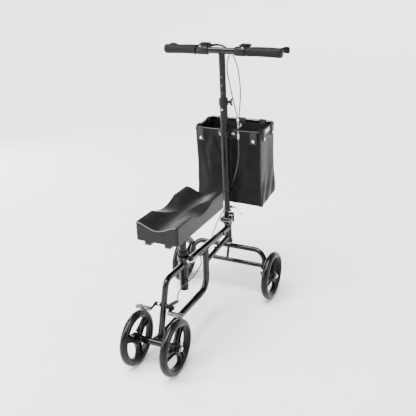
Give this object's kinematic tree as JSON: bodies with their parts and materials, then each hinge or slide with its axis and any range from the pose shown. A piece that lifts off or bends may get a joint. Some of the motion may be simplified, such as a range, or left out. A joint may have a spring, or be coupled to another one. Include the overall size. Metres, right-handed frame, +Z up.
{
  "type": "knee scooter",
  "caption": "Knee scooter with a contoured knee pad on a height post, paired rear wheels, wide front wheels, a folding T-handle stem with brake levers and a front bag.",
  "frame": {"origin": "on the floor, under the middle of the scooter's bounding box", "axes": "+Z up, +Y the way it rolls forward (towards the steering stem and bag), +X the rider's right"},
  "size_m": [0.5002, 0.9165, 1.0382],
  "materials": {
    "tyre": "smooth solid rubber, dull sheen",
    "wheel_plastic": "moulded black plastic",
    "grip_rubber": "matt moulded rubber",
    "pad_foam": "self-skinned polyurethane foam with a fine grain",
    "bag_nylon": "woven black nylon",
    "bright_steel": "bright plated steel",
    "zinc_plate": "zinc plated",
    "cable_sheath": "black extruded sheath",
    "black_plastic": "fine moulded texture",
    "satin_tube": "satin black powder coat",
    "black_paint": "gloss black powder coat"
  },
  "bodies": {
    "frame": {"head_tube": "black_paint", "head_cup_lower": "satin_tube", "head_cup_upper": "satin_tube", "upper_beam": "black_paint", "lower_beam": "black_paint", "keel_tube": "black_paint", "riser_tube": "black_paint", "seat_sleeve": "satin_tube", "sleeve_collar": "black_plastic", "seat_clamp": "satin_tube", "rear_axle_tube": "black_paint", "rear_bolt_left": "bright_steel", "rear_bolt_right": "bright_steel", "brake_cable_frame": "cable_sheath"},
    "steering": {"front_arch": "black_paint", "steer_column": "satin_tube", "front_cross_tube": "black_paint", "front_lug_left": "black_paint", "front_lug_right": "black_paint", "front_bolt_left": "bright_steel", "front_bolt_right": "bright_steel", "fold_base": "black_paint"},
    "stem": {"fold_block": "black_paint", "stem_foot_tube": "satin_tube", "stem_tube": "satin_tube", "stem_collar": "black_plastic", "bag": "bag_nylon", "bag_rim": "bright_steel", "bag_clamp": "black_plastic", "brake_cable_stem": "cable_sheath"},
    "bar": {"height_tube": "satin_tube", "handlebar": "black_paint", "grip_left": "grip_rubber", "grip_right": "grip_rubber", "lever_mount_left": "black_plastic", "lever_mount_right": "black_plastic", "brake_cable_left": "cable_sheath", "brake_cable_right": "cable_sheath"},
    "seat": {"seat_post": "satin_tube", "seat_plate": "black_paint", "seat_pad": "pad_foam"},
    "rear_brake": {"brake_shaft": "bright_steel", "brake_shoe_left": "zinc_plate", "brake_shoe_right": "zinc_plate"},
    "brake_lever_left": {"brake_lever_left": "black_plastic"},
    "brake_lever_right": {"brake_lever_right": "black_plastic"},
    "seat_lever": {"seat_lever": "bright_steel"},
    "fold_lever": {"fold_lever": "black_plastic"},
    "latch_pin": {"latch_pin": "bright_steel"},
    "wing_knob": {"wing_knob": "black_plastic"},
    "height_button": {"height_button": "bright_steel"},
    "wheel_front_left": {"tyre_front_left": "tyre", "wheel_front_left": "wheel_plastic"},
    "wheel_front_right": {"tyre_front_right": "tyre", "wheel_front_right": "wheel_plastic"},
    "wheel_rear_left": {"tyre_rear_left": "tyre", "wheel_rear_left": "wheel_plastic"},
    "wheel_rear_right": {"tyre_rear_right": "tyre", "wheel_rear_right": "wheel_plastic"}
  },
  "joints": [
    {"name": "steering_turn", "type": "hinge", "parent": "frame", "child": "steering", "pos_m": [0, 0.2794, 0.3], "axis": [0, -0.0523, 0.9986], "range_deg": [-40, 40]},
    {"name": "stem_fold", "type": "hinge", "parent": "steering", "child": "stem", "pos_m": [0, 0.2534, 0.32798], "axis": [1, 0, 0], "range_deg": [0, 41], "deforming": ["brake_cable_frame"]},
    {"name": "handle_height", "type": "slide", "parent": "stem", "child": "bar", "axis": [0, -0.0523, 0.9986], "range_m": [-0.126, 0], "deforming": ["brake_cable_left", "brake_cable_right", "brake_cable_stem"]},
    {"name": "seat_height", "type": "slide", "parent": "frame", "child": "seat", "axis": [0, 0, 1], "range_m": [-0.085, 0]},
    {"name": "brake_lever_right_pull", "type": "hinge", "parent": "bar", "child": "brake_lever_right", "pos_m": [0.078, 0.2876, 1.02242], "axis": [0, 0.0523, -0.9986], "range_deg": [0, 9], "stiffness_Nm_per_rad": 1.5, "springref_deg": -2.86},
    {"name": "brake_lever_left_pull", "type": "hinge", "parent": "bar", "child": "brake_lever_left", "pos_m": [-0.078, 0.2876, 1.02242], "axis": [0, -0.0523, 0.9986], "range_deg": [0, 9], "stiffness_Nm_per_rad": 1.5, "springref_deg": -2.86},
    {"name": "brake_swing", "type": "hinge", "parent": "frame", "child": "rear_brake", "pos_m": [0, -0.2896, 0.215], "axis": [1, 0, 0], "range_deg": [0, 5.5], "stiffness_Nm_per_rad": 1, "springref_deg": -2.86},
    {"name": "seat_lever_swing", "type": "hinge", "parent": "frame", "child": "seat_lever", "pos_m": [0.029, -0.1501, 0.328], "axis": [0, 0, -1], "range_deg": [0, 110]},
    {"name": "fold_lever_swing", "type": "hinge", "parent": "stem", "child": "fold_lever", "pos_m": [0, 0.27894, 0.34704], "axis": [1, 0, 0], "range_deg": [0, 120]},
    {"name": "latch_pin_pull", "type": "slide", "parent": "stem", "child": "latch_pin", "axis": [1, 0, 0], "range_m": [0, 0.008], "stiffness_N_per_m": 600, "springref_m": -0.004},
    {"name": "wing_knob_turn", "type": "hinge", "parent": "stem", "child": "wing_knob", "pos_m": [0, 0.25187, 0.82528], "axis": [1, 0, 0], "continuous": true},
    {"name": "height_button_press", "type": "slide", "parent": "stem", "child": "height_button", "axis": [0, 0.9986, 0.0523], "range_m": [0, 0.0015], "stiffness_N_per_m": 400, "springref_m": -0.003},
    {"name": "wheel_front_left_spin", "type": "hinge", "parent": "steering", "child": "wheel_front_left", "pos_m": [-0.205, 0.2624, 0.1016], "axis": [1, 0, 0], "continuous": true},
    {"name": "wheel_front_right_spin", "type": "hinge", "parent": "steering", "child": "wheel_front_right", "pos_m": [0.205, 0.2624, 0.1016], "axis": [1, 0, 0], "continuous": true},
    {"name": "wheel_rear_left_spin", "type": "hinge", "parent": "frame", "child": "wheel_rear_left", "pos_m": [-0.0775, -0.3566, 0.1016], "axis": [1, 0, 0], "continuous": true},
    {"name": "wheel_rear_right_spin", "type": "hinge", "parent": "frame", "child": "wheel_rear_right", "pos_m": [0.0775, -0.3566, 0.1016], "axis": [1, 0, 0], "continuous": true}
  ],
  "couplings": [
    {"joint": "brake_swing", "follows": "brake_lever_right_pull", "ratio": 0.6}
  ]
}
